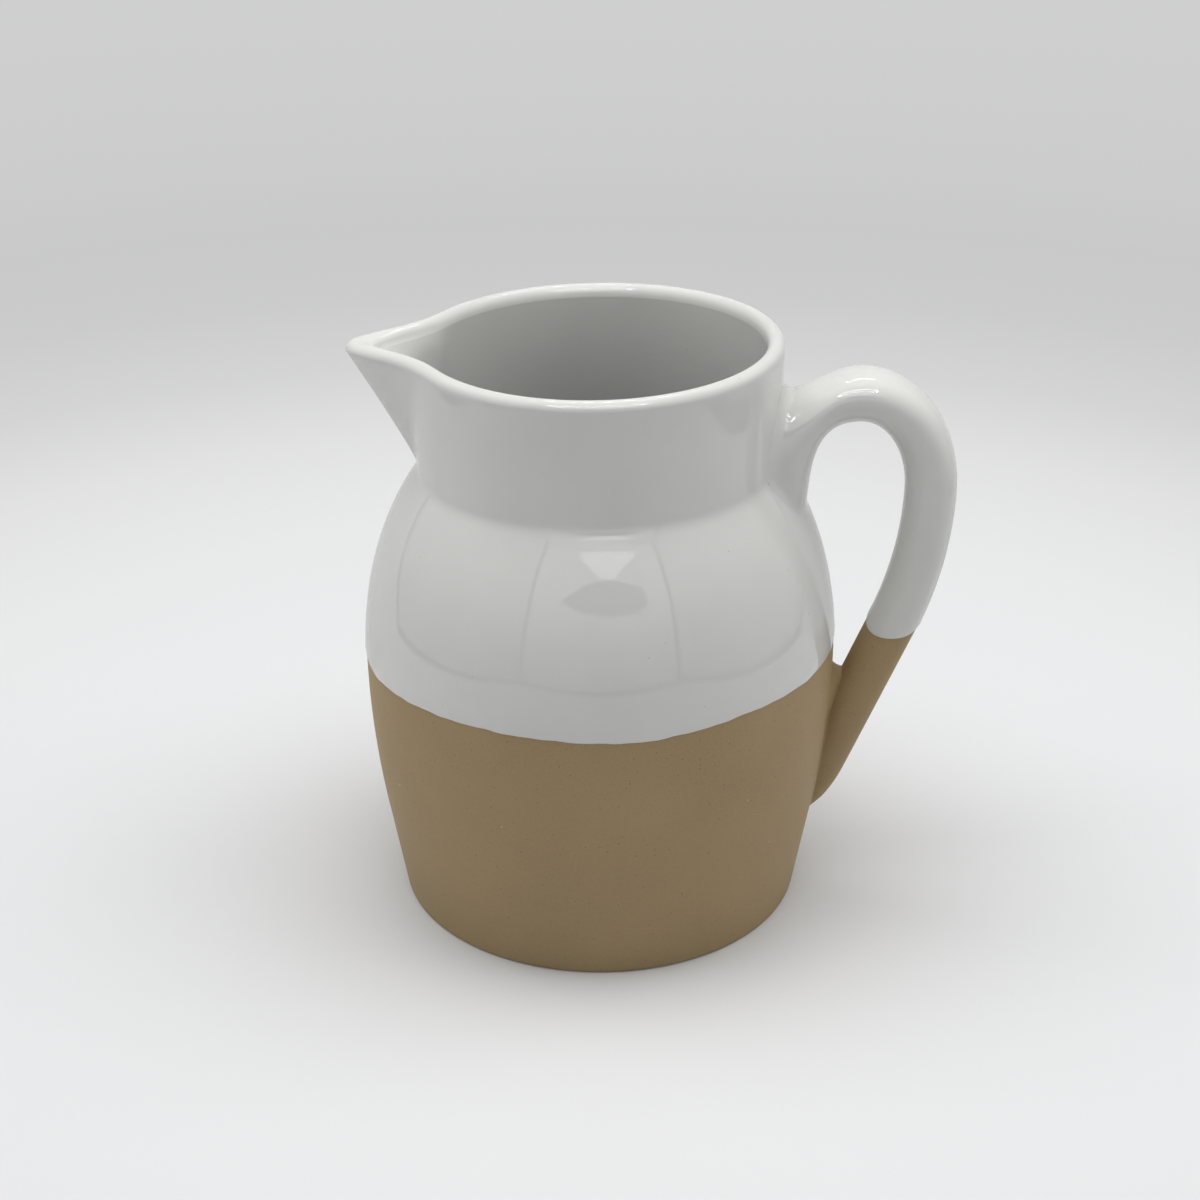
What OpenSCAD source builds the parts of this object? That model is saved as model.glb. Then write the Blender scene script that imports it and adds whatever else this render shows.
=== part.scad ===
// Stoneware table jug: a turned clay body with a drawn pouring spout, a loop handle luted to
// its side, and a thin glaze outside, inside and on the upper handle.
// +Z is up, the origin is the middle of the foot on the table, and the spout points to -X.

/* [Body] */
// Height over the rim
jug_h = 190; // [170:1:220]
// Diameter over the foot
foot_d = 132.8; // [116:0.2:142]
// Largest diameter of the clay
belly_d = 152.9; // [144:0.1:166]
// Height of the largest diameter
belly_z = 86; // [72:1:98]
// Height where the straight flank turns into the round of the belly
flank_z = 32; // [15:1:50]
// How far the shoulder has turned in where it meets the collar, in degrees
shoulder_turn = 50.6; // [35:0.1:70]
// Thickness of the side wall
wall_t = 5.6; // [4:0.1:8]
// Thickness of the floor
floor_t = 7; // [5:0.5:12]
// Radius of the corner between floor and wall, inside
floor_round = 14; // [6:1:22]

/* [Foot] */
// Rounding of the edge of the foot
foot_round = 1.2; // [0.6:0.1:2.5]

/* [Collar and rim] */
// Height of the crease between shoulder and collar
neck_z = 149; // [140:1:156]
// Diameter of the collar at the crease
neck_d = 113.8; // [104:0.2:122]
// Diameter over the rim
rim_d = 116.2; // [106:0.2:126]
// Thickness of the lip
lip_t = 5; // [3.6:0.1:6.4]

/* [Spout] */
// How far the tip stands out from the rim
spout_reach = 20.4; // [12:0.2:28]
// Half the angle that the spout takes at the rim, in degrees
spout_turn = 32; // [22:1:42]
// How sharply the flanks draw in to the tip
spout_draw = 2.8; // [2:0.1:3.6]

/* [Handle] */
// Distance of the top of the loop from the axis of the body
arch_x = 81.5; // [78:0.5:86]
// Height of the centreline at the top of the loop
arch_z = 174.2; // [170:0.2:180]
// Distance of the loop's outermost point from the axis
bow_x = 104.2; // [99:0.2:112]
// Height of the loop's outermost point
bow_z = 143.5; // [136:0.5:150]
// Radius of the bow below the outermost point
bow_r = 110; // [90:1:140]
// Angle of the straight tail from upright, in degrees
tail_lean = 21; // [18:0.5:23]
// Thickness of the handle in the plane of the loop
grip_t = 15.6; // [12:0.2:18]
// Width of the handle at the top of the loop
grip_w = 22; // [16:0.5:28]
// Width of the handle's tail
tail_w = 15; // [11:0.5:20]
// Height of the end of the tail, inside the wall
tail_z = 25; // [18:0.5:32]
// Height where the top of the root meets the collar
root_top_z = 173; // [168:0.5:177]
// Height where the underside of the root runs into the shoulder
root_low_z = 132; // [126:0.5:136]
// Distance of the root's underside from the axis
root_x = 65.6; // [64:0.2:67]
// Angle of the handle off the line of the spout, in degrees
handle_turn = 5; // [0:1:12]

/* [Glaze] */
// Thickness of the glaze
coat_t = 0.35; // [0.2:0.05:0.8]
// Height of the dip line on the body's axis
dip_z = 91.2; // [88:0.2:120]
// Lean of the dip line, higher on the handle's side, in degrees
dip_lean = 1.4; // [0:0.1:3]

/* [Hidden] */
$fn = 96;
clay_color = [0.72, 0.60, 0.46];
glaze_color = [0.90, 0.90, 0.88];

// Radii and heights of the clay
foot_r = foot_d / 2;
belly_r = belly_d / 2;
neck_r = neck_d / 2 - coat_t;
rim_r = rim_d / 2 - coat_t;
lip_z = jug_h - coat_t - lip_t / 2;
bore_neck_z = neck_z - wall_t / 2;

// The neck's ring stands this far in from both edges of the turned wall under it
seam = 0.09;
// A distance past the outside of the whole jug
clear_reach = bow_x + grip_t;

// Numbers of stations
belly_steps = 22;
collar_steps = 3;
lip_steps = 6;
spout_steps = 14;
collar_columns = 64;
round_steps = 5;
ring_points = 24;
root_steps = 9;
arch_steps = 9;
bow_steps = 5;
tail_steps = 3;
tip_steps = 5;

// Shares
spout_foot_share = 0.15;
spout_nose_share = 0.11;
spout_bore_share = 0.95;
spout_bore_turn_share = 0.88;
ring_squareness = 2.2;
root_flare_share = 0.18;
tip_share = 1;
tip_end_share = 0.15;
root_top_shares = [0.35, 0.6];
root_low_shares = [0.7, 0.83];

// A wall's radius at height z, for the outside (in = 0) or the bore (in = wall thickness)
function flank_r(z, in) =
    let (lean = (belly_r - foot_r) / ((flank_z + belly_z) / 2))
    foot_r - in + lean * z;
function belly_curve_r(z, in) =
    let (t = (z - flank_z) / (belly_z - flank_z))
    belly_r - in - pow(1 - t, 2) * (belly_r - in - flank_r(flank_z, in));
function shoulder_r(z, in) =
    let (
        top_r = in > 0 ? neck_r - lip_t : neck_r,
        top_z = in > 0 ? bore_neck_z : neck_z,
        deep = (belly_r - in - top_r) / (1 - cos(shoulder_turn)),
        rise = (top_z - belly_z) / sin(shoulder_turn)
    )
    belly_r - in - deep * (1 - sqrt(1 - pow((z - belly_z) / rise, 2)));
function collar_r(z) = neck_r + (rim_r - neck_r) * (z - neck_z) / (lip_z - neck_z);
function bore_collar_r(z) = collar_r(z) - lip_t;
function outer_r(z) =
    z <= flank_z ? flank_r(z, 0)
    : z <= belly_z ? belly_curve_r(z, 0)
    : z <= neck_z ? shoulder_r(z, 0)
    : collar_r(z);
function bore_r(z) =
    z <= flank_z ? flank_r(z, wall_t)
    : z <= belly_z ? belly_curve_r(z, wall_t)
    : z <= bore_neck_z ? shoulder_r(z, wall_t)
    : bore_collar_r(z);

// Outlines as lists of [radius, height]
function levels(from, to, steps) = [for (i = [0:steps]) from + (to - from) * i / steps];
function outer_outline(from, to, out) =
    [for (z = levels(from, to, belly_steps)) [outer_r(z) + out, z]];
function bore_outline(to, out) =
    let (
        low_z = floor_t + floor_round,
        mid_r = bore_r(low_z) - floor_round
    )
    concat(
        [for (z = levels(to, low_z, belly_steps)) [bore_r(z) - out, z]],
        [for (i = [1:round_steps]) let (a = 90 * i / round_steps)
            [mid_r + (floor_round - out) * cos(a), low_z - (floor_round - out) * sin(a)]],
        [[0, floor_t + out]]
    );
function foot_outline() =
    concat(
        [[0, 0]],
        [for (i = [0:round_steps]) let (a = 90 * i / round_steps)
            [outer_r(foot_round) - foot_round * (1 - sin(a)), foot_round * (1 - cos(a))]]
    );

// The spout: a nose that grows from nothing at the crease to its full reach at the rim.
// across runs from -1 to 1 over the spout, and up from 0 at the crease to 1 at the rim.
function nose(across) =
    abs(across) >= 1 ? 0
    : exp(-spout_draw * (sqrt(across * across + pow(spout_nose_share, 2)) - spout_nose_share))
        * pow(1 - across * across, 2);
function spout_half(up, share) =
    spout_turn * share * (spout_foot_share + (1 - spout_foot_share) * up);

// One column of the neck's net: [its place across the spout, its angle from the spout]
function column(i, up, share) =
    let (half = spout_half(up, share), extra = i - 2 * spout_steps)
    extra <= 0
        ? [(i - spout_steps) / spout_steps, (i - spout_steps) / spout_steps * half]
        : [1, half + (360 - 2 * half) * extra / (collar_columns + 1)];
neck_columns = 2 * spout_steps + 1 + collar_columns;

function around(r, angle, z) = [-r * cos(angle), -r * sin(angle), z];
function neck_outer(i, up, out) =
    let (c = column(i, up, 1), z = neck_z + (lip_z - neck_z) * up)
    around(collar_r(z) + out + spout_reach * up * nose(c[0]) - (up == 0 ? seam : 0), c[1], z);
function neck_inner(i, up, out) =
    let (
        c = column(i, up, spout_bore_turn_share),
        z = neck_z + (lip_z - neck_z) * up,
        reach = spout_reach * spout_bore_share * up
    )
    around(bore_collar_r(z) - out + reach * nose(c[0]) + (up == 0 ? seam : 0), c[1], z);
function neck_lip(i, turn, out) =
    let (
        a = neck_outer(i, 1, out),
        b = neck_inner(i, 1, out),
        middle = (a + b) / 2
    )
    middle + (a - b) / 2 * cos(turn) + [0, 0, (lip_t / 2 + out) * sin(turn)];

// Rows of the net, from the crease up the outside, over the lip and down the inside
function outer_rows(out) =
    [for (up = levels(0, 1, collar_steps)) [for (i = [0:neck_columns - 1]) neck_outer(i, up, out)]];
function lip_rows(out) =
    [for (k = [1:lip_steps - 1]) [for (i = [0:neck_columns - 1])
        neck_lip(i, 180 * k / lip_steps, out)]];
function inner_rows(out) =
    [for (up = levels(1, 0, collar_steps)) [for (i = [0:neck_columns - 1]) neck_inner(i, up, out)]];
function backwards(rows) = [for (i = [len(rows) - 1:-1:0]) rows[i]];

// A closed band: each row joins the next, and the last joins the first. A quad is split along
// its shorter diagonal, so that two bands meet without a gap whichever way their rows run.
module band(rows) {
    n = len(rows);
    m = len(rows[0]);
    points = [for (row = rows) each row];
    faces = [for (j = [0:n - 1]) for (i = [0:m - 1])
        let (
            a = j * m + i,
            b = j * m + (i + 1) % m,
            c = (j + 1) % n * m + (i + 1) % m,
            d = (j + 1) % n * m + i,
            short = norm(points[a] - points[c]) < norm(points[b] - points[d])
        )
        each (short ? [[a, c, b], [a, d, c]] : [[a, d, b], [d, c, b]])];
    polyhedron(points = points, faces = faces);
}

// The handle lies in its own upright plane, [distance from the axis, height]
function bezier(p, t) =
    pow(1 - t, 3) * p[0] + 3 * t * pow(1 - t, 2) * p[1] + 3 * t * t * (1 - t) * p[2] + pow(t, 3) * p[3];
half_t = grip_t / 2;
root_top_curve = [
    [neck_r - wall_t / 2, root_top_z],
    [neck_r + (arch_x - neck_r) * root_top_shares[0], root_top_z],
    [neck_r + (arch_x - neck_r) * root_top_shares[1], arch_z + half_t],
    [arch_x, arch_z + half_t]
];
root_low_curve = [
    [root_x, root_low_z],
    [root_x, root_low_z + (arch_z - half_t - root_low_z) * root_low_shares[0]],
    [arch_x - (arch_x - root_x) * root_low_shares[1], arch_z - half_t],
    [arch_x, arch_z - half_t]
];
tail_start = [bow_x - bow_r * (1 - cos(tail_lean)), bow_z - bow_r * sin(tail_lean)];
tail_run = (tail_start[1] - tail_z) / cos(tail_lean);
tip_run = grip_t * tip_share;

// A station: [outer point, inner point, half width]
function station(middle, normal, half, wide) =
    [middle + normal * half, middle - normal * half, wide / 2];
function root_station(t) =
    let (flare = grip_w * root_flare_share * pow(1 - t, 2))
    [bezier(root_top_curve, t), bezier(root_low_curve, t), grip_w / 2 + flare];
root_seat = [
    [neck_r - wall_t, root_top_z],
    [neck_r - wall_t, root_low_z],
    grip_w * (1 / 2 + root_flare_share)
];
function arch_station(t) =
    let (
        a = bow_x - arch_x,
        b = arch_z - bow_z,
        normal = [b * sin(90 * t), a * cos(90 * t)],
        wide = grip_w + (tail_w - grip_w) * 0.5 * t
    )
    station([arch_x + a * sin(90 * t), bow_z + b * cos(90 * t)], normal / norm(normal), half_t, wide);
function bow_station(t) =
    let (a = tail_lean * t, wide = grip_w + (tail_w - grip_w) * (0.5 + 0.5 * t))
    station([bow_x - bow_r * (1 - cos(a)), bow_z - bow_r * sin(a)], [cos(a), -sin(a)], half_t, wide);
function tail_station(run, size) =
    station(tail_start - run * [sin(tail_lean), cos(tail_lean)],
        [cos(tail_lean), -sin(tail_lean)], half_t * size, tail_w * size);
function handle_stations() =
    concat(
        [root_seat],
        [for (i = [0:root_steps]) root_station(i / root_steps)],
        [for (i = [1:arch_steps]) arch_station(i / arch_steps)],
        [for (i = [1:bow_steps]) bow_station(i / bow_steps)],
        [for (i = [1:tail_steps]) tail_station((tail_run - tip_run) * i / tail_steps, 1)],
        [for (i = [1:tip_steps]) let (s = (1 - tip_end_share) * i / tip_steps)
            tail_station(tail_run - tip_run * (1 - s), sqrt(1 - s * s))]
    );

// One ring of the handle, a soft rectangle grown outwards by out
function soft(v) = sign(v) * pow(abs(v), 2 / ring_squareness);
function handle_ring(s, out) =
    let (middle = (s[0] + s[1]) / 2, half = (s[0] - s[1]) / 2, grown = 1 + out / norm(half))
    [for (i = [0:ring_points - 1])
        let (
            a = 360 * i / ring_points,
            p = middle + half * grown * soft(cos(a))
        )
        [p[0], (s[2] + out) * soft(sin(a)), p[1]]];
module sweep(rows) {
    n = len(rows);
    m = len(rows[0]);
    points = [for (row = rows) each row];
    sides = [for (j = [0:n - 2]) for (i = [0:m - 1])
        let (
            a = j * m + i,
            b = j * m + (i + 1) % m,
            c = (j + 1) * m + (i + 1) % m,
            d = (j + 1) * m + i
        )
        each [[a, b, c], [a, c, d]]];
    start_cap = [for (i = [m - 1:-1:0]) i];
    end_cap = [for (i = [0:m - 1]) (n - 1) * m + i];
    polyhedron(points = points, faces = concat(sides, [start_cap, end_cap]));
}
module handle_form(out) {
    rotate([0, 0, -handle_turn])
        sweep([for (s = handle_stations()) handle_ring(s, out)]);
}

// The body's outer form as one solid, for cutting the handle to its seat
module body_form(out) {
    rotate_extrude()
        polygon(concat(
            [[0, foot_round]],
            outer_outline(foot_round, neck_z, out),
            [[collar_r(lip_z) + out, lip_z], [0, lip_z]]
        ));
}

// Everything under the dip line
module below_dip() {
    translate([0, 0, dip_z])
        rotate([0, -dip_lean, 0])
            translate([-clear_reach, -clear_reach, -clear_reach])
                cube([2 * clear_reach, 2 * clear_reach, clear_reach]);
}

module body() {
    color(clay_color) {
        rotate_extrude()
            polygon(concat(
                foot_outline(),
                [for (p = outer_outline(foot_round, neck_z, 0)) if (p[1] > foot_round) p],
                bore_outline(neck_z, 0)
            ));
        band(concat(outer_rows(0), lip_rows(0), inner_rows(0)));
    }
}

module handle() {
    color(clay_color)
        difference() {
            handle_form(0);
            body_form(0);
        }
}

module outside_glaze() {
    color(glaze_color)
        difference() {
            union() {
                rotate_extrude()
                    polygon(concat(
                        outer_outline(foot_round, neck_z, coat_t),
                        backwards(outer_outline(foot_round, neck_z, 0))
                    ));
                band(concat(
                    outer_rows(coat_t), lip_rows(coat_t), [inner_rows(coat_t)[0]],
                    [inner_rows(0)[0]], backwards(lip_rows(0)), backwards(outer_rows(0))
                ));
            }
            handle_form(0);
            below_dip();
        }
}

module lining_glaze() {
    color(glaze_color) {
        rotate_extrude()
            polygon(concat(bore_outline(neck_z, 0), backwards(bore_outline(neck_z, coat_t))));
        band(concat(inner_rows(coat_t), backwards(inner_rows(0))));
    }
}

module handle_glaze() {
    color(glaze_color)
        difference() {
            handle_form(coat_t);
            handle_form(0);
            body_form(coat_t);
            below_dip();
        }
}

body();
handle();
outside_glaze();
lining_glaze();
handle_glaze();
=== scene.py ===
"""Dresses the stoneware jug: a thrown clay body, its loop handle, and the white glaze it was dipped in.

Lengths on the jug are in millimetres, in the CAD's frame. Those of the studio are in metres.
"""

import logging
import math
from collections.abc import Callable, Iterator, Mapping, Sequence
from contextlib import contextmanager
from dataclasses import dataclass
from enum import Enum

import bmesh
import bpy
import numpy as np
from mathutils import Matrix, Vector


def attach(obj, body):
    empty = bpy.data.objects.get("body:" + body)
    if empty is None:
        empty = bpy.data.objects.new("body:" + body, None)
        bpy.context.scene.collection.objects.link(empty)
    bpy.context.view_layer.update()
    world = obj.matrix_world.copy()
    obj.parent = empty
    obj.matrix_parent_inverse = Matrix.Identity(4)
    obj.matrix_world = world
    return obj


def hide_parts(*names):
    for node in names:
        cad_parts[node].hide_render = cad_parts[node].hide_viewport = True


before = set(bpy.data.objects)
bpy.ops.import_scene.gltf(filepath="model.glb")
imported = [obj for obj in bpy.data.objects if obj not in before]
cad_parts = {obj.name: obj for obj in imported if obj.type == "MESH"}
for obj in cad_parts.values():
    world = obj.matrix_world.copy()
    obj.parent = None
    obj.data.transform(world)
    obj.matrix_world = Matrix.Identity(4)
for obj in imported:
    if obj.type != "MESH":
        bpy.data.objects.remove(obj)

Pair = tuple[float, float]
Triple = tuple[float, float, float]
Part = tuple[np.ndarray, np.ndarray, np.ndarray]
Piece = bpy.types.Object
Material = bpy.types.Material
Tree = bpy.types.NodeTree
Node = bpy.types.Node

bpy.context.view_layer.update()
LOG = logging.getLogger("jug")
MM = 0.001
DOUBLES = 0.002 * MM
SMOOTH_UNDER = math.radians(50.0)
ROOT = "root"


class Slot(Enum):
    """The record's material slots."""

    CLAY = "clay"
    GLAZE = "glaze"


class End(Enum):
    """The handle's two ends, each with the direction in which it is left."""

    ROOT = 1
    TAIL = -1


class Sampling(Enum):
    """How Cycles samples a card's light."""

    WIDE = "NONE"
    SMALL = "FRONT_BACK"


def part_way(start: np.ndarray, end: np.ndarray, share: np.ndarray) -> np.ndarray:
    """Goes a share of the way from one value to another."""
    return start + (end - start) * share


def smooth_step(value: np.ndarray) -> np.ndarray:
    """Eases a value from 0 to 1.

    Args:
        value: The values, which are held between 0 and 1.

    Returns:
        The eased values, with no slope at either end.
    """
    held = np.clip(value, 0.0, 1.0)
    return held * held * (3.0 - 2.0 * held)


def softer_larger(a: np.ndarray, b: np.ndarray, blend: float) -> np.ndarray:
    """Takes the larger of two values, with the corner between them rounded.

    Args:
        a: The first values.
        b: The second values.
        blend: How near to each other they are where the rounding starts.

    Returns:
        The rounded maximum.
    """
    near = np.clip(blend - np.abs(a - b), 0.0, None) / blend
    return np.maximum(a, b) + near * near * blend / 4.0


def unit(vectors: np.ndarray) -> np.ndarray:
    """Brings vectors, one a row, to length 1."""
    return vectors / np.linalg.norm(vectors, axis=-1, keepdims=True)


def cubic(t: np.ndarray, knots: Sequence[np.ndarray]) -> np.ndarray:
    """Gives points on a cubic curve.

    Args:
        t: How far along the curve they are, from 0 to 1.
        knots: The curve's four knots.

    Returns:
        The points.
    """
    weights = ((1 - t) ** 3, 3 * t * (1 - t) ** 2, 3 * t * t * (1 - t), t**3)
    return sum(weight * knot for weight, knot in zip(weights, knots))


def quarter_turn(steps: int) -> list[float]:
    """Gives the angles of a quarter turn in even steps, both ends included."""
    return [math.pi / 2 * k / steps for k in range(steps + 1)]


def clear_selection() -> None:
    """Deselects every object."""
    bpy.ops.object.select_all(action="DESELECT")


def named(name: str) -> Piece:
    """Names the primitive that was just added, and its mesh."""
    piece = bpy.context.object
    piece.name = piece.data.name = name
    return piece


@contextmanager
def editing() -> Iterator[None]:
    """Edits the active piece with all of it selected, then goes back to object mode."""
    bpy.ops.object.mode_set(mode="EDIT")
    bpy.ops.mesh.select_all(action="SELECT")
    yield
    bpy.ops.object.mode_set(mode="OBJECT")


def reshape(piece: Piece, move: Callable[[np.ndarray], np.ndarray]) -> None:
    """Moves all the vertices of a piece by a rule.

    Args:
        piece: The piece, in object mode.
        move: Takes points in millimetres, one a row, and gives their new places.
    """
    mesh = piece.data
    points = np.empty(len(mesh.vertices) * 3)
    mesh.vertices.foreach_get("co", points)
    moved = move(points.reshape(-1, 3) / MM) * MM
    mesh.vertices.foreach_set("co", moved.ravel())
    mesh.update()


def face_out(piece: Piece) -> Piece:
    """Turns all the faces of a closed piece outwards."""
    with editing():
        bpy.ops.mesh.normals_make_consistent(inside=False)
    return piece


def turn(name: str, outline: Sequence[Pair], columns: int) -> Piece:
    """Turns an outline round the upright axis, as on a wheel.

    Args:
        name: The piece's name.
        outline: Points of (radius, height) in millimetres.
        columns: The number of columns round the axis.

    Returns:
        The turned piece, with its poles and its seam closed.
    """
    clear_selection()
    bpy.ops.mesh.primitive_plane_add(size=MM)
    piece = named(name)
    with editing():
        bpy.ops.mesh.merge(type="CENTER")
        radius, height = outline[0]
        bpy.ops.transform.translate(value=(radius * MM, 0.0, height * MM))
        for (r0, z0), (r1, z1) in zip(outline, outline[1:]):
            step = ((r1 - r0) * MM, 0.0, (z1 - z0) * MM)
            bpy.ops.mesh.extrude_region_move(TRANSFORM_OT_translate={"value": step})
    wheel = piece.modifiers.new("wheel", "SCREW")
    wheel.angle = math.tau
    wheel.steps = wheel.render_steps = columns
    wheel.use_merge_vertices = True
    wheel.merge_threshold = DOUBLES
    bpy.ops.object.modifier_apply(modifier=wheel.name)
    with editing():
        bpy.ops.mesh.remove_doubles(threshold=DOUBLES)
    return face_out(piece)


def place_rings(piece: Piece, rings: np.ndarray, ring: np.ndarray, column: np.ndarray) -> None:
    """Puts each vertex of a piece on its ring.

    Args:
        piece: The piece, in object mode.
        rings: Places in millimetres, by ring, by point round the ring, by axis.
        ring: Each vertex's ring.
        column: Each vertex's place round the ring, or -1 for the middle of that ring.
    """
    places = np.where(column[:, None] < 0, rings.mean(axis=1)[ring], rings[ring, column])
    reshape(piece, lambda points: places)


def loft(name: str, rings: np.ndarray) -> Piece:
    """Shapes a cylinder into a solid that runs through a row of rings.

    Args:
        name: The piece's name.
        rings: Places in millimetres, by ring, by point round the ring, by axis.

    Returns:
        The solid, closed at both ends.
    """
    count, points = rings.shape[:2]
    clear_selection()
    bpy.ops.mesh.primitive_cylinder_add(vertices=points, radius=MM, depth=2.0, end_fill_type="TRIFAN")
    piece = named(name)
    with editing():
        mesh = bmesh.from_edit_mesh(piece.data)
        for edge in mesh.edges:
            low, high = sorted(vertex.co.z for vertex in edge.verts)
            edge.select_set(high - low > 1.0)
        bmesh.update_edit_mesh(piece.data)
        bpy.ops.mesh.subdivide(number_cuts=count - 2)
    x, y, z = np.array([vertex.co for vertex in piece.data.vertices]).T
    ring = np.rint((z + 1.0) / 2.0 * (count - 1)).astype(int)
    column = np.rint(np.arctan2(y, x) / math.tau * points).astype(int) % points
    column[np.hypot(x, y) < MM / 2] = -1
    place_rings(piece, rings, ring, column)
    return face_out(piece)


def loft_band(name: str, rings: np.ndarray) -> Piece:
    """Shapes a torus into a band that runs through a closed row of rings.

    Args:
        name: The piece's name.
        rings: Places in millimetres, by ring, by point round the ring, by axis.

    Returns:
        The band, whose last ring joins its first.
    """
    count, points = rings.shape[:2]
    major = 2.0
    clear_selection()
    bpy.ops.mesh.primitive_torus_add(
        major_segments=points, minor_segments=count, major_radius=major, minor_radius=1.0
    )
    piece = named(name)
    x, y, z = np.array([vertex.co for vertex in piece.data.vertices]).T
    column = np.rint(np.arctan2(y, x) / math.tau * points).astype(int) % points
    ring = np.rint(np.arctan2(z, np.hypot(x, y) - major) / math.tau * count).astype(int) % count
    place_rings(piece, rings, ring, column)
    return face_out(piece)


def dress(piece: Piece, finish: Material, node: str) -> None:
    """Gives a piece its finish, its smooth shading, its body and the node that it stands for.

    Args:
        piece: The finished piece.
        finish: The material.
        node: The name of the node that it replaces.
    """
    clear_selection()
    piece.select_set(True)
    bpy.context.view_layer.objects.active = piece
    bpy.ops.object.shade_smooth_by_angle(angle=SMOOTH_UNDER)
    piece.data.materials.clear()
    piece.data.materials.append(finish)
    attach(piece, ROOT)
    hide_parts(node)
    LOG.info("%s: %d vertices", piece.name, len(piece.data.vertices))


@dataclass
class ThrownBody:
    """The body as it comes off the wheel, with its drawn spout. Angles run from the spout."""

    height: float = 190.0
    foot_d: float = 132.8
    foot_round: float = 1.2
    foot_steps: int = 6
    belly_d: float = 152.9
    belly_z: float = 86.0
    flank_z: float = 32.0
    shoulder_turn: float = 50.6
    wall_t: float = 5.6
    floor_t: float = 7.0
    floor_round: float = 14.0
    floor_steps: int = 8
    floor_shares: tuple[float, ...] = (0.75, 0.5, 0.25, 0.0)
    neck_z: float = 149.0
    neck_d: float = 113.8
    crease_blend: float = 1.8
    crease_reach: float = 8.0
    rim_d: float = 116.6
    rim_wave: float = 0.25
    rim_tilt: float = 0.006
    lip_t: float = 5.0
    lip_roll: float = 1.4
    lip_steps: int = 14
    coat_t: float = 0.35
    lean: float = 0.0185
    lean_low_z: float = 85.0
    lean_high_z: float = 150.0
    spout_reach: float = 19.0
    spout_turn: float = 32.0
    spout_draw: float = 2.8
    spout_fade: float = 2.0
    spout_nose: float = 0.11
    spout_foot: float = 0.15
    spout_fullness: float = 0.22
    spout_crowding: float = 0.75
    keel_hollow: float = 1.1
    keel_turn: float = 8.0
    throat_turn: float = 20.0
    throat_draw: float = 1.3
    throat_fade: float = 1.0
    throat_rise: float = 1.3
    throat_fullness: float = 0.12
    throat_depth: float = 8.0
    columns: int = 320
    coarse_gap: float = 2.6
    fine_gap: float = 0.7

    def __post_init__(self) -> None:
        """Works out the radii of the clay and the height where the lip's round starts."""
        self.foot_r = self.foot_d / 2
        self.belly_r = self.belly_d / 2
        self.neck_r = self.neck_d / 2 - self.coat_t
        self.rim_r = self.rim_d / 2 - self.coat_t
        self.lip_z = self.height - self.coat_t - self.lip_t / 2
        self.bore_top_z = self.lip_z - self.lip_t / 2 * (self.lip_roll - 1.0)

    def collar_r(self, z: np.ndarray) -> np.ndarray:
        """Gives the collar's outer radius at a height."""
        return self.neck_r + (self.rim_r - self.neck_r) * (z - self.neck_z) / (self.lip_z - self.neck_z)

    def wall_r(self, z: np.ndarray, inside: float) -> np.ndarray:
        """Gives a wall's radius at a height.

        Args:
            z: The heights.
            inside: 0 for the outer surface, or the wall's thickness for the bore.

        Returns:
            The radii, in millimetres.
        """
        z = np.asarray(z, float)
        lip_t, half_t = (self.lip_t, self.wall_t / 2) if inside > 0.0 else (0.0, 0.0)
        lean = (self.belly_r - self.foot_r) / ((self.flank_z + self.belly_z) / 2)
        flank = self.foot_r - inside + lean * z
        flank_top = self.foot_r - inside + lean * self.flank_z
        widest = self.belly_r - inside
        t = np.clip((z - self.flank_z) / (self.belly_z - self.flank_z), 0.0, 1.0)
        belly = widest - (1.0 - t) ** 2 * (widest - flank_top)
        turned = math.radians(self.shoulder_turn)
        deep = (widest - (self.neck_r - lip_t)) / (1.0 - math.cos(turned))
        rise = (self.neck_z - half_t - self.belly_z) / math.sin(turned)
        short_of_level = 0.999
        along = np.clip((z - self.belly_z) / rise, 0.0, short_of_level)
        shoulder = widest - deep * (1.0 - np.sqrt(1.0 - along**2))
        far_inside = -1e3
        collar = np.where(z > self.belly_z, self.collar_r(z) - lip_t, far_inside)
        upper = softer_larger(shoulder, collar, self.crease_blend)
        return np.where(z <= self.flank_z, flank, np.where(z <= self.belly_z, belly, upper))

    def bore_r(self, z: np.ndarray) -> np.ndarray:
        """Gives the bore's radius at a height."""
        return self.wall_r(z, self.wall_t)

    def heights(self, low: float, high: float) -> list[float]:
        """Spaces heights along a wall, closer together at the crease.

        Args:
            low: The lowest height.
            high: The highest height.

        Returns:
            The heights, both ends included.
        """
        levels = [low]
        while levels[-1] < high:
            near = abs(levels[-1] - self.neck_z) < self.crease_reach
            levels.append(levels[-1] + (self.fine_gap if near else self.coarse_gap))
        levels[-1] = high
        if levels[-1] - levels[-2] < self.fine_gap / 2:
            del levels[-2]
        return levels

    def lip(self, out: float) -> list[Pair]:
        """Gives the lip's round, from its outer to its inner edge.

        Args:
            out: How far outside the clay it lies.

        Returns:
            Points of (radius, height), without the two ends.
        """
        middle = self.collar_r(self.lip_z) - self.lip_t / 2
        half = self.lip_t / 2 + out
        tall = self.lip_t / 2 * self.lip_roll + out
        places = []
        for step in range(1, self.lip_steps):
            a = math.pi * step / self.lip_steps
            outer = step <= self.lip_steps // 2
            start, rise = (self.lip_z, half) if outer else (self.bore_top_z, tall)
            places.append((middle + half * math.cos(a), start + rise * math.sin(a)))
        return places

    def outer_side(self, low: float, out: float) -> list[Pair]:
        """Gives the outer wall from a height up to the lip."""
        return [(float(self.wall_r(z, 0.0)) + out, z) for z in self.heights(low, self.lip_z)]

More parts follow.
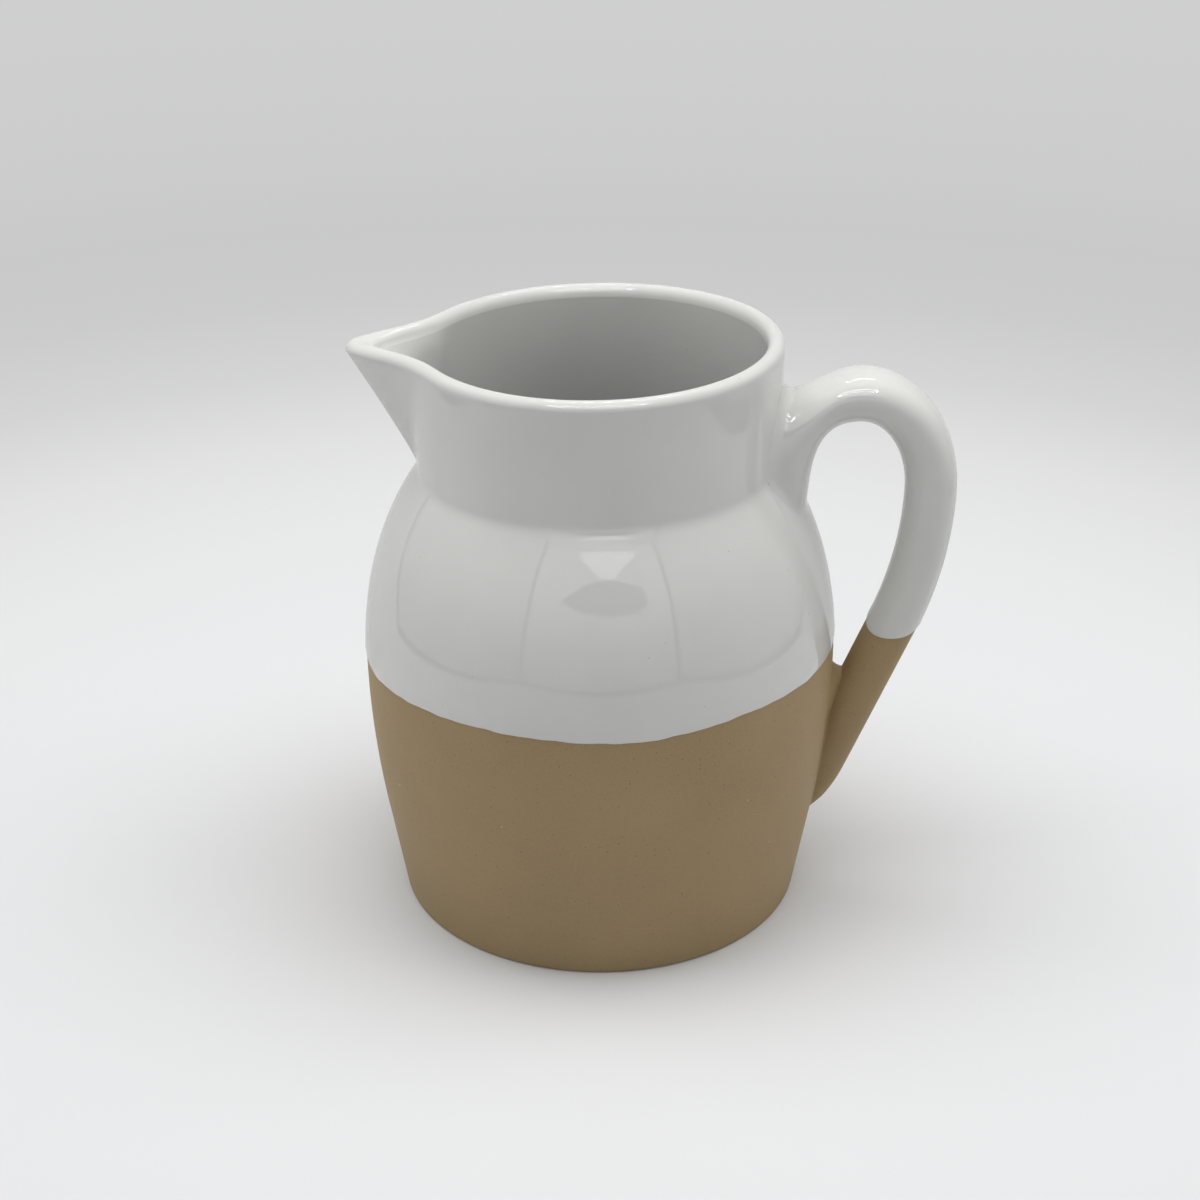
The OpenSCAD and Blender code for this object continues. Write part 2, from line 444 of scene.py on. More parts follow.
    def bore_side(self, out: float) -> list[Pair]:
        """Gives the bore from the lip down to the middle of the floor.

        Args:
            out: How far off the clay it lies, towards the axis.

        Returns:
            Points of (radius, height).
        """
        low = self.floor_t + self.floor_round
        middle = float(self.bore_r(low)) - self.floor_round
        side = [(float(self.bore_r(z)) - out, z) for z in reversed(self.heights(low, self.bore_top_z))]
        half = self.floor_round - out
        turns = quarter_turn(self.floor_steps)[1:]
        corner = [(middle + half * math.cos(a), low - half * math.sin(a)) for a in turns]
        floor = [(middle * share, self.floor_t + out) for share in self.floor_shares]
        return side + corner + floor

    def foot(self) -> list[Pair]:
        """Gives the foot from its middle to the top of its rounded edge."""
        flat_r = float(self.wall_r(self.foot_round, 0.0)) - self.foot_round
        flat = [(flat_r * share, 0.0) for share in reversed(self.floor_shares)]
        edge = [
            (flat_r + self.foot_round * math.sin(a), self.foot_round * (1.0 - math.cos(a)))
            for a in quarter_turn(self.foot_steps)
        ]
        return flat + edge

    def nose(self, across: np.ndarray, draw: np.ndarray, fade: np.ndarray) -> np.ndarray:
        """Gives the spout's share of its reach at a place across it.

        Args:
            across: The place, from -1 to 1 between the spout's flanks.
            draw: How fast the spout falls off beside its keel.
            fade: How sharply its flanks end.

        Returns:
            The shares, 1 at the keel.
        """
        held = np.clip(across, -1.0, 1.0)
        point = np.sqrt(held**2 + self.spout_nose**2) - self.spout_nose
        return np.exp(-draw * point) * (1.0 - held**2) ** fade

    def nose_slope(self, across: np.ndarray, draw: np.ndarray, fade: np.ndarray) -> np.ndarray:
        """Gives how fast that share changes across the spout, for the same values."""
        held = np.clip(across, -1.0, 1.0)
        fall = draw * held / np.sqrt(held**2 + self.spout_nose**2)
        above_zero = 1e-9
        ending = 2.0 * fade * held / np.clip(1.0 - held**2, above_zero, None)
        return -self.nose(held, draw, fade) * (fall + ending)

    def angle_at(self, x: np.ndarray, y: np.ndarray) -> np.ndarray:
        """Gives the angle to which a turned column goes, since columns crowd at the spout."""
        turned = np.arctan2(-y, -x)
        return turned - self.spout_crowding * np.sin(turned)

    def lean_at(self, z: np.ndarray) -> np.ndarray:
        """Gives how far the body leans at a height, in radians."""
        return self.lean * smooth_step((z - self.lean_low_z) / (self.lean_high_z - self.lean_low_z))

    def shift_at(self, z: np.ndarray) -> np.ndarray:
        """Gives how far the axis has moved towards the spout at a height: the lean, summed up."""
        span = self.lean_high_z - self.lean_low_z
        t = np.clip((z - self.lean_low_z) / span, 0.0, 1.0)
        above = np.clip(z - self.lean_high_z, 0.0, None)
        return self.lean * (span * (t**3 - t**4 / 2) + above)

    def throw(self, points: np.ndarray) -> np.ndarray:
        """Moves a turned shape to its thrown form: spout, lean and the rim's slight wave.

        Args:
            points: Places on the turned shape, in millimetres.

        Returns:
            Their places on the thrown shape.
        """
        x, y, z = points.T
        radius = np.hypot(x, y)
        angle = self.angle_at(x, y)
        up = np.clip((z - self.neck_z) / (self.lip_z - self.neck_z), 0.0, 1.0)
        middle = self.collar_r(np.minimum(z, self.lip_z)) - self.lip_t / 2
        inside = smooth_step((middle - radius) / self.lip_t * 2.0)
        deep = inside * smooth_step((self.lip_z - z) / self.throat_depth)
        half = math.radians(self.spout_turn) * part_way(self.spout_foot, 1.0, up)
        half = part_way(half, math.radians(self.throat_turn), deep)
        draw = part_way(self.spout_draw, self.throat_draw, deep)
        fade = part_way(self.spout_fade, self.throat_fade, deep)
        full = self.spout_fullness * inside * np.exp(-((angle / math.radians(self.keel_turn)) ** 2))
        reach = self.spout_reach * (1.0 - full - self.throat_fullness * deep)
        reach = reach * up ** (self.keel_hollow + self.throat_rise * inside)
        drawn = middle + reach * self.nose(angle / half, draw, fade)
        slope = reach * self.nose_slope(angle / half, draw, fade) / half
        off = (radius - middle) / np.hypot(drawn, slope)
        out, along = drawn * (1.0 + off), -slope * off
        x = -out * np.cos(angle) + along * np.sin(angle)
        y = -out * np.sin(angle) - along * np.cos(angle)
        rise = self.lean_at(z) * x + up * (self.rim_wave * np.cos(2.0 * angle) + self.rim_tilt * y)
        return np.stack([x - self.shift_at(z), y, z + rise], axis=1)

    def off_wall(self, points: np.ndarray, out: float) -> np.ndarray:
        """Measures how far points lie outside the thrown wall, beside the handle.

        Args:
            points: Places in millimetres, in any shape that ends in three axes.
            out: How far outside the clay the wall's surface lies.

        Returns:
            The distances along the radius, negative inside.
        """
        x, y, z = np.moveaxis(points, -1, 0)
        level = z - self.lean_at(z) * x
        return np.hypot(x + self.shift_at(level), y) - self.wall_r(level, 0.0) - out

    def make_clay(self, finish: Material) -> None:
        """Makes the clay body in one piece, from the foot over the lip to the floor."""
        outline = self.foot() + self.outer_side(self.foot_round, 0.0)[1:]
        outline += self.lip(0.0) + self.bore_side(0.0)
        piece = turn("jug_body", outline, self.columns)
        reshape(piece, self.throw)
        dress(piece, finish, "body")


@dataclass
class Dip:
    """The line to which the jug was dipped in glaze: a tilted plane that wanders a little.

    A wander is its middle and its width in degrees, and its rise in millimetres. A ripple is its
    number of waves, its rise and its start.
    """

    body: ThrownBody
    level: float = 90.7
    slope_x: float = 0.0249
    slope_y: float = 0.0103
    edge_h: float = 0.5
    edge_steps: int = 5
    bead_h: float = 1.3
    bead_share: float = 1.25
    bead_end: float = 3.0
    fade_h: float = 26.0
    sunk: float = -0.03
    wander: tuple[Triple, ...] = (
        (8.0, 13.0, -0.9),
        (-29.0, 15.0, 0.5),
        (38.0, 13.0, 0.6),
        (-71.0, 16.0, -1.6),
        (118.0, 20.0, 0.5),
        (-125.0, 18.0, 0.6),
        (168.0, 16.0, -0.7),
    )
    ripples: tuple[Triple, ...] = ((23.0, 0.09, 0.4), (41.0, 0.09, 1.9), (67.0, 0.06, 0.7))

    def plane_z(self, x: np.ndarray, y: np.ndarray) -> np.ndarray:
        """Gives the dip plane's height over a place."""
        return self.level + self.slope_x * x + self.slope_y * y

    def line_z(self, x: np.ndarray, y: np.ndarray) -> np.ndarray:
        """Gives the height of the glaze's edge over a place on the body."""
        azimuth = np.degrees(np.arctan2(x, -y))
        height = self.plane_z(x, y)
        for middle, width, rise in self.wander:
            away = (azimuth - middle + 180.0) % 360.0 - 180.0
            height = height + rise * np.exp(-((away / width) ** 2))
        for waves, rise, start in self.ripples:
            height = height + rise * np.sin(np.radians(azimuth) * waves + start)
        return height

    def edge(self, out: float) -> list[Pair]:
        """Gives the rolled edge as pairs of (distance off the clay, height over the line)."""
        turns = quarter_turn(self.edge_steps)
        roll = [(out * math.sin(a), self.edge_h * (1.0 - math.cos(a))) for a in turns]
        bead = [(out * self.bead_share, self.bead_h), (out, self.bead_end * self.bead_h)]
        return [(self.sunk, 0.0)] + roll + bead

    def follow(self, points: np.ndarray) -> np.ndarray:
        """Moves a turned coat so that its lower edge follows the dip line.

        Args:
            points: Places on the coat turned with its edge at the plain level.

        Returns:
            Places whose distance off the clay is as before.
        """
        x, y, z = points.T
        radius = np.hypot(x, y)
        angle = self.body.angle_at(x, y)
        fade = 1.0 - smooth_step((z - self.level) / self.fade_h)
        line = self.line_z(-radius * np.cos(angle), -radius * np.sin(angle))
        risen = z + (line - self.level) * fade
        share = (radius + self.body.wall_r(risen, 0.0) - self.body.wall_r(z, 0.0)) / radius
        return np.stack([x * share, y * share, risen], axis=1)


@dataclass
class GlazeCoats:
    """The glaze over the body: one coat outside and over the rim, and one lining the bore."""

    body: ThrownBody
    dip: Dip

    def make_outside(self, finish: Material) -> None:
        """Makes the outer coat, from the dip line over the lip to its inner edge."""
        body, dip, out = self.body, self.dip, self.body.coat_t
        edge = [(float(body.wall_r(dip.level + h, 0.0)) + off, dip.level + h) for off, h in dip.edge(out)]
        start = edge[-1][1]
        outer = edge + body.outer_side(start, out)[1:] + body.lip(out) + body.bore_side(out)[:1]
        inner = body.outer_side(dip.level, dip.sunk) + body.lip(dip.sunk) + body.bore_side(dip.sunk)[:1]
        piece = turn("glaze_outside", outer + inner[::-1], body.columns)
        reshape(piece, lambda points: body.throw(dip.follow(points)))
        dress(piece, finish, "outside_glaze")

    def make_lining(self, finish: Material) -> None:
        """Makes the lining, from the lip's inner edge over the floor."""
        coat = self.body.bore_side(self.body.coat_t)
        back = self.body.bore_side(self.dip.sunk)[::-1]
        piece = turn("glaze_lining", coat + back + coat[:1], self.body.columns)
        reshape(piece, self.body.throw)
        dress(piece, finish, "lining_glaze")


@dataclass
class LoopHandle:
    """The loop handle, from its root on the collar to its tail on the lower belly.

    A pull is the share of a curve's span at which its inner knot stands. Stations count
    millimetres along the handle, and rails run along it, one for each point round its section.
    """

    body: ThrownBody
    dip: Dip
    arch_x: float = 81.5
    arch_z: float = 174.2
    bow_x: float = 104.2
    bow_z: float = 143.5
    bow_r: float = 125.0
    tail_lean: float = 21.8
    grip_t: float = 15.6
    grip_w: float = 22.0
    tail_w: float = 15.0
    tail_z: float = 25.0
    root_top_z: float = 173.0
    root_low_z: float = 132.0
    root_x: float = 65.6
    root_pull: float = 0.35
    arch_pull: float = 0.6
    under_root_pull: float = 0.7
    under_arch_pull: float = 0.83
    root_flare: float = 0.18
    turned: float = 5.0
    squareness: float = 2.2
    fullness: float = 0.07
    root_run: float = 5.0
    root_spread: float = 4.0
    tail_run: float = 2.2
    tail_spread: float = 1.6
    seat_pull: float = 0.42
    seat_sunk: float = 0.08
    crotch_run: float = 9.9
    crotch_spread: float = 10.9
    crotch_pull: float = 0.16
    crotch_from: float = 0.6
    crotch_fade: float = 0.35
    tip_run: float = 22.0
    tip_blunt: float = 0.985
    plug_share: float = 0.4
    plug_depth: float = 2.0
    dip_rise: float = 4.7
    dip_slope_x: float = 0.1
    dip_slope_y: float = 0.5
    points: int = 64
    arc_steps: int = 40
    tail_steps: int = 90
    soften: int = 10
    seat_rings: int = 11
    seat_soften: int = 3
    clay_rings: int = 120
    coat_rings: int = 90
    early_share: float = 0.25
    late_share: float = 0.5

    def width(self, share: np.ndarray) -> np.ndarray:
        """Gives the half width at a share of the way from the arch to the tail."""
        return part_way(self.grip_w, self.tail_w, share) / 2

    def root_part(self) -> Part:
        """Lays out the root, where the strap grows out of the collar up to the arch."""
        neck, wall = self.body.neck_r, self.body.wall_t
        over, under = self.arch_z + self.grip_t / 2, self.arch_z - self.grip_t / 2
        top = np.array([
            [neck - wall / 2, self.root_top_z],
            [part_way(neck, self.arch_x, self.root_pull), self.root_top_z],
            [part_way(neck, self.arch_x, self.arch_pull), over],
            [self.arch_x, over],
        ])
        low = np.array([
            [self.root_x, self.root_low_z],
            [self.root_x, part_way(self.root_low_z, under, self.under_root_pull)],
            [part_way(self.arch_x, self.root_x, self.under_arch_pull), under],
            [self.arch_x, under],
        ])
        t = np.linspace(0.0, 1.0, self.arc_steps, endpoint=False)[:, None]
        outer = np.vstack([[neck - wall, self.root_top_z], cubic(t, top)])
        inner = np.vstack([[neck - wall, self.root_low_z], cubic(t, low)])
        flare = self.grip_w * self.root_flare * (1.0 - np.append(0.0, t)) ** 2
        return (outer + inner) / 2, (outer - inner) / 2, self.grip_w / 2 + flare

    def arch_part(self) -> Part:
        """Lays out the arch, a quarter of an ellipse over to the bow."""
        reach, drop = self.bow_x - self.arch_x, self.arch_z - self.bow_z
        a = np.linspace(0.0, math.pi / 2, self.arc_steps, endpoint=False)[:, None]
        sin, cos = np.sin(a), np.cos(a)
        middle = np.hstack([self.arch_x + reach * sin, self.bow_z + drop * cos])
        half = self.grip_t / 2 * unit(np.hstack([drop * sin, reach * cos]))
        return middle, half, self.width(a[:, 0] / math.pi)

    def bow_part(self) -> Part:
        """Lays out the bow, an arc that bends back towards the belly."""
        lean = math.radians(self.tail_lean)
        a = np.linspace(0.0, lean, self.arc_steps, endpoint=False)[:, None]
        sin, cos = np.sin(a), np.cos(a)
        middle = np.hstack([self.bow_x - self.bow_r * (1.0 - cos), self.bow_z - self.bow_r * sin])
        return middle, self.grip_t / 2 * np.hstack([cos, -sin]), self.width((1.0 + a[:, 0] / lean) / 2)

    def tail_part(self) -> Part:
        """Lays out the straight tail and its rounded tip inside the belly's wall."""
        lean = math.radians(self.tail_lean)
        sin, cos = math.sin(lean), math.cos(lean)
        start = np.array([self.bow_x - self.bow_r * (1.0 - cos), self.bow_z - self.bow_r * sin])
        run = (start[1] - self.tail_z) / cos
        along = np.linspace(0.0, run, self.tail_steps)
        close = np.clip((along - (run - self.tip_run)) / self.tip_run, 0.0, self.tip_blunt)
        size = np.sqrt(1.0 - close**2)
        middle = start - along[:, None] * [sin, cos]
        return middle, self.grip_t / 2 * size[:, None] * [cos, -sin], self.width(1.0) * size

    def path(self) -> Part:
        """Lays out the handle in its own plane, at steps of a millimetre.

        Returns:
            The middle line and the half thickness, both as (distance from the axis, height), and
            the half width.
        """
        parts = (self.root_part(), self.arch_part(), self.bow_part(), self.tail_part())
        middle, half, wide = (np.concatenate(column) for column in zip(*parts))
        steps = np.linalg.norm(np.diff(middle, axis=0), axis=1)
        along = np.append(0.0, np.cumsum(steps))
        places = np.linspace(0.0, along[-1], int(along[-1]) + 1)
        columns = np.column_stack([middle, half, wide]).T
        table = np.column_stack([np.interp(places, along, column) for column in columns])
        for _ in range(self.soften):
            table[1:-1] = (table[:-2] + 2.0 * table[1:-1] + table[2:]) / 4.0
        return table[:, 0:2], table[:, 2:4], table[:, 4]

    def angles(self) -> np.ndarray:
        """Gives the angle of each rail round the section, from the outer side."""
        return np.linspace(0.0, math.tau, self.points, endpoint=False)

    def rails(self, out: float) -> np.ndarray:
        """Gives the handle's surface as rails along it.

        Args:
            out: How far outside the clay the surface lies.

        Returns:
            Places by station, by point round the section, by axis.
        """
        middle, half, wide = self.path()
        sin, cos = np.sin(self.angles()), np.cos(self.angles())
        sin, cos = (np.sign(side) * np.abs(side) ** (2.0 / self.squareness) for side in (sin, cos))
        grown = (1.0 + out / np.linalg.norm(half, axis=1))[:, None, None]
        plane = middle[:, None, :] + half[:, None, :] * cos[None, :, None] * grown
        across = (wide[:, None] + out) * sin[None, :] * (1.0 + self.fullness * cos[None, :])
        turned = -math.radians(self.turned)
        x = plane[..., 0] * math.cos(turned) - across * math.sin(turned)
        y = plane[..., 0] * math.sin(turned) + across * math.cos(turned)
        return np.stack([x, y, plane[..., 1]], axis=-1)

    @staticmethod
    def pick(rails: np.ndarray, station: np.ndarray) -> np.ndarray:
        """Reads each rail at its own station, between the stored ones."""
        short_of_end = 1.001
        held = np.clip(station, 0.0, len(rails) - short_of_end)
        low = held.astype(int)
        part = (held - low)[:, None]
        columns = np.arange(rails.shape[1])
        return rails[low, columns] * (1.0 - part) + rails[low + 1, columns] * part

    def crossing(self, off: np.ndarray, end: End) -> np.ndarray:
        """Finds where each rail comes out of the wall.

        Args:
            off: The distance outside the wall, by station and rail.
            end: The end to look from.

        Returns:
            The station of each rail at the wall's surface.
        """
        found = np.empty(off.shape[1])
        for column, values in enumerate(off[::end.value].T):
            first = int(np.argmax(values > 0.0))
            before, after = values[first - 1], values[first]
            place = first - after / (after - before)
            found[column] = place if end is End.ROOT else len(values) - 1 - place
        return found

    def fillet(self, end: End) -> Part:
        """Sizes the fillet at one end, where the tail's inner side gets the crotch's web of clay.

        Args:
            end: The end.

        Returns:
            How far each rail's fillet runs up the handle and out over the wall, and its pull.
        """
        if end is End.ROOT:
            run, spread, inner = self.root_run, self.root_spread, np.zeros(self.points)
        else:
            run, spread = self.tail_run, self.tail_spread
            inner = smooth_step((-np.cos(self.angles()) - self.crotch_from) / self.crotch_fade)
        return (
            part_way(run, self.crotch_run, inner),
            part_way(spread, self.crotch_spread, inner),
            part_way(self.seat_pull, self.crotch_pull, inner),
        )

    def spreading(self, loop: np.ndarray, out: float) -> np.ndarray:
        """Gives the directions in which a fillet spreads over the wall.

        Args:
            loop: The ring in which the rails come out of the wall.
            out: How far outside the clay the wall's surface lies.

        Returns:
            A direction away from the handle for each point of the ring.
        """
        around = np.roll(loop, -2, axis=0) - np.roll(loop, 2, axis=0)
        away = unit(np.cross(around, self.wall_normal(loop, out)))
        outward = np.einsum("ij,ij->i", away, loop - loop.mean(axis=0))
        away *= np.sign(np.median(outward))
        for _ in range(self.seat_soften):
            away = (np.roll(away, 1, axis=0) + 2.0 * away + np.roll(away, -1, axis=0)) / 4.0
        return away

    def seat(self, rails: np.ndarray, out: float, end: End) -> tuple[np.ndarray, np.ndarray]:
        """Makes the fillet where the handle meets the wall.

        Args:
            rails: The handle's rails.
            out: How far outside the clay the wall's surface lies.
            end: The end that is seated.

        Returns:
            The station where each rail leaves its fillet, and the fillet's rings from the wall.
        """
        station = self.crossing(self.body.off_wall(rails, out), end)
        run, spread, pull = self.fillet(end)
        leave = station + end.value * run
        start = self.pick(rails, leave)
        half_step = 0.5 * end.value
        down = unit(start - self.pick(rails, leave + half_step))
        loop = self.pick(rails, station)
        away = self.spreading(loop, out)
        foot = self.on_wall(loop + away * spread[:, None], out)
        normal = self.wall_normal(foot, out)
        away = unit(away - normal * np.einsum("ij,ij->i", away, normal)[:, None])
        pull = np.linalg.norm(foot - start, axis=1, keepdims=True) * pull[:, None]
        knots = (foot - normal * self.seat_sunk, foot - away * pull, start + down * pull, start)
        steps = np.linspace(0.0, 1.0, self.seat_rings)[:-1]
        return leave, np.array([cubic(t, knots) for t in steps])

    def wall_normal(self, points: np.ndarray, out: float) -> np.ndarray:
        """Gives the wall's outward direction near points."""
        step = 0.05
        slopes = []
        for axis in np.eye(3):
            ahead = self.body.off_wall(points + axis * step, out)
            behind = self.body.off_wall(points - axis * step, out)
            slopes.append((ahead - behind) / (2.0 * step))
        return unit(np.stack(slopes, axis=-1))

    def on_wall(self, points: np.ndarray, out: float) -> np.ndarray:
        """Brings points onto the wall's surface, nearer in each of a few rounds."""
        level = np.array([1.0, 1.0, 0.0])
        rounds = 4
        for _ in range(rounds):
            off = self.body.off_wall(points, out)
            points = points - unit(points * level) * off[:, None]
        return points

    def between(self, rails: np.ndarray, first: np.ndarray, last: np.ndarray, rings: int) -> np.ndarray:
        """Spaces rings along the rails, square to the handle away from its ends.

        Args:
            rails: The handle's rails.
            first: The station where each rail starts.
            last: The station where each rail ends.
            rings: The number of rings.

        Returns:
            The rings, both ends included.
        """
        rows = []
        for t in np.linspace(0.0, 1.0, rings):
            common = part_way(first.mean(), last.mean(), t)
            early = (first - first.mean()) * (1.0 - smooth_step(t / self.early_share))
            late = (last - last.mean()) * smooth_step((t - (1.0 - self.late_share)) / self.late_share)
            rows.append(self.pick(rails, common + early + late))
        return np.array(rows)

    def plug(self, ring: np.ndarray) -> np.ndarray:
        """Gives the smaller ring inside the wall that closes an end, as a row of one ring."""
        smaller = part_way(ring, ring.mean(axis=0), self.plug_share)
        return (smaller - [self.plug_depth, 0.0, 0.0])[None]

    def make_clay(self, finish: Material) -> None:
        """Makes the handle's clay, luted to the wall at both ends."""
        rails = self.rails(0.0)
        first, root = self.seat(rails, 0.0, End.ROOT)
        last, tail = self.seat(rails, 0.0, End.TAIL)
        strap = self.between(rails, first, last, self.clay_rings)
        rings = np.concatenate([self.plug(root[0]), root, strap, tail[::-1], self.plug(tail[0])])
        dress(loft("loop_handle", rings), finish, "handle")

    def dip_station(self, rails: np.ndarray) -> np.ndarray:
        """Finds the station where each rail passes the handle's own dip line."""
        x, y, z = np.moveaxis(rails, -1, 0)
        mean_x, mean_y = x.mean(axis=1, keepdims=True), y.mean(axis=1, keepdims=True)
        line = self.dip.plane_z(mean_x, mean_y) + self.dip_rise
        over = z - line - self.dip_slope_x * (x - mean_x) - self.dip_slope_y * (y - mean_y)
        found = np.empty(rails.shape[1])
        for column, values in enumerate(over.T):
            last = int(np.flatnonzero(values > 0.0)[-1])
            found[column] = last + values[last] / (values[last] - values[last + 1])
        return found

    def make_glaze(self, finish: Material) -> None:
        """Makes the coat on the handle, from the root's fillet to the dip line."""
        out, sunk = self.body.coat_t, self.dip.sunk
        rails, clay = self.rails(out), self.rails(sunk)
        first, root = self.seat(rails, out, End.ROOT)
        inner_first, inner_root = self.seat(clay, sunk, End.ROOT)
        end = self.dip_station(rails)
        edge = self.dip.edge(out)
        rolled = []
        for off, height in reversed(edge):
            share = (off - sunk) / (out - sunk)
            rolled.append(part_way(self.pick(clay, end - height), self.pick(rails, end - height), share))
        outer = self.between(rails, first, end - edge[-1][1], self.coat_rings)[:-1]
        inner = self.between(clay, inner_first, end - self.dip.edge_h, self.coat_rings)[::-1]
        rings = np.concatenate([root, outer, np.array(rolled), inner, inner_root[::-1]])
        dress(loft_band("glaze_handle", rings), finish, "handle_glaze")


def add_node(
    tree: Tree, kind: str, sockets: Mapping[str | int, object] | None = None, **settings: object
) -> Node:
    """Adds a shader node.

    Args:
        tree: The node tree.
        kind: The node's type, without the word ShaderNode before it.
        sockets: Values of its input sockets, by name or number.
        **settings: Properties of the node, by name.

    Returns:
        The new node.
    """
    node = tree.nodes.new(f"ShaderNode{kind}")
    for name, value in settings.items():
        setattr(node, name, value)
    for socket, value in (sockets or {}).items():
        node.inputs[socket].default_value = value
    return node


def wire(tree: Tree, *links: tuple[Node, str | int, Node, str | int]) -> None:
    """Links nodes.

    Args:
        tree: The node tree.
        *links: Each link's first node and its output, then its second node and its input.
    """
    for source, output, target, socket in links:
        tree.links.new(source.outputs[output], target.inputs[socket])


def opaque(color: Triple) -> tuple[float, float, float, float]:
    """Gives a colour as a socket takes it."""
    return (*color, 1.0)


def speck_group() -> Tree:
    """Builds the group that scatters small specks over a surface.

    Returns:
        The group, with the inputs Vector, Density, Size and Share and the output Mask.
    """
    group = bpy.data.node_groups.new("scattered_specks", "ShaderNodeTree")
    group.interface.new_socket(name="Vector", in_out="INPUT", socket_type="NodeSocketVector")
    for name, value in (("Density", 500.0), ("Size", 0.2), ("Share", 0.3)):
        socket = group.interface.new_socket(name=name, in_out="INPUT", socket_type="NodeSocketFloat")
        socket.default_value = value
    group.interface.new_socket(name="Mask", in_out="OUTPUT", socket_type="NodeSocketFloat")
    start = group.nodes.new("NodeGroupInput")
    end = group.nodes.new("NodeGroupOutput")
    cells = add_node(group, "TexVoronoi", feature="F1")
    dot = add_node(group, "Math", operation="LESS_THAN")
    split = add_node(group, "SeparateColor")
    kept = add_node(group, "Math", operation="LESS_THAN")
    size = add_node(group, "Math", operation="MULTIPLY")
    both = add_node(group, "Math", operation="MULTIPLY")
    wire(
        group,
        (start, "Vector", cells, "Vector"),
        (start, "Density", cells, "Scale"),
        (cells, "Color", split, "Color"),
        (split, "Red", kept, 0),
        (start, "Share", kept, 1),
        (split, "Green", size, 0),
        (start, "Size", size, 1),
        (cells, "Distance", dot, 0),
        (size, "Value", dot, 1),
        (dot, "Value", both, 0),
        (kept, "Value", both, 1),
        (both, "Value", end, "Mask"),
    )
    return group


@dataclass(frozen=True)
class Specks:
    """One kind of speck. Density counts cells a metre, and size is a share of a cell."""

    density: float
    size: float
    share: float
    color: Triple
    strength: float

    def scatter(self, tree: Tree, group: Tree, place: Node, under: Node) -> Node:
        """Scatters the specks over a colour.

        Args:
            tree: The material's nodes.
            group: The group that scatters specks.
            place: The node that gives the place on the piece.
            under: The node that gives the colour beneath.

        Returns:
            The node that gives the speckled colour.
        """
        sizes = {"Density": self.density, "Size": self.size, "Share": self.share}
        mask = add_node(tree, "Group", sizes, node_tree=group)
        weak = add_node(tree, "Math", {1: self.strength}, operation="MULTIPLY")
        fleck = add_node(tree, "Mix", {"B": opaque(self.color)}, data_type="RGBA")
        wire(
            tree,
            (place, "Object", mask, "Vector"),
            (mask, "Mask", weak, 0),
            (weak, "Value", fleck, "Factor"),
            (under, "Result", fleck, "A"),
        )
        return fleck


@dataclass(frozen=True)
class Finish:
    """A fired surface: a colour that clouds a little, specks in it, and a fine relief.

    The scales count noise waves a metre, and the relief's depth is in metres.
    """

    name: str
    color: Triple
    roughness: float
    ior: float
    mottle: float
    cloud_scale: float
    cloud_detail: float
    relief_scale: float
    relief_detail: float
    relief_strength: float
    relief_depth: float
    specks: tuple[Specks, ...]

    def tone(self, tree: Tree, cloud: Node, relief: Node) -> Node:
        """Adds the node that says how light the colour is at a place.

        Args:
            tree: The material's nodes.
            cloud: The wide noise.
            relief: The fine noise.

        Returns:
            The node, whose result is 1 on average.
        """
        tone = add_node(tree, "MapRange", {"To Min": 1.0 - self.mottle, "To Max": 1.0 + self.mottle})
        wire(tree, (cloud, "Fac", tone, "Value"))
        return tone

    def build(self, group: Tree) -> Material:
        """Builds the material.

        Args:
            group: The group that scatters specks.

        Returns:
            The material.
        """
        material = bpy.data.materials.new(self.name)
        material.use_nodes = True
        tree = material.node_tree
        shader = tree.nodes["Principled BSDF"]
        shader.inputs["Roughness"].default_value = self.roughness
        shader.inputs["IOR"].default_value = self.ior
        place = add_node(tree, "TexCoord")
        cloud = add_node(tree, "TexNoise", {"Scale": self.cloud_scale, "Detail": self.cloud_detail})
        relief = add_node(tree, "TexNoise", {"Scale": self.relief_scale, "Detail": self.relief_detail})
        tinted = {"Factor": 1.0, "A": opaque(self.color)}
        surface = add_node(tree, "Mix", tinted, data_type="RGBA", blend_type="MULTIPLY")
        wire(
            tree,
            (place, "Object", cloud, "Vector"),
            (place, "Object", relief, "Vector"),
            (self.tone(tree, cloud, relief), "Result", surface, "B"),
        )
        for kind in self.specks:
            surface = kind.scatter(tree, group, place, surface)
        bump = add_node(tree, "Bump", {"Strength": self.relief_strength, "Distance": self.relief_depth})
        wire(
            tree,
            (surface, "Result", shader, "Base Color"),
            (relief, "Fac", bump, "Height"),
            (bump, "Normal", shader, "Normal"),
        )
        return material


@dataclass(frozen=True)
class WhiteGlaze(Finish):
    """The pale gloss glaze: even, faintly mottled, with a few fine specks and a soft ripple."""

    name: str = "white_glaze"
    color: Triple = (0.57, 0.57, 0.552)
    roughness: float = 0.04
    ior: float = 1.5
    mottle: float = 0.05
    cloud_scale: float = 38.0
    cloud_detail: float = 6.0
    relief_scale: float = 160.0
    relief_detail: float = 2.0
    relief_strength: float = 0.12
    relief_depth: float = 0.0002
    specks: tuple[Specks, ...] = (Specks(420.0, 0.13, 0.05, (0.29, 0.27, 0.25), 0.45),)


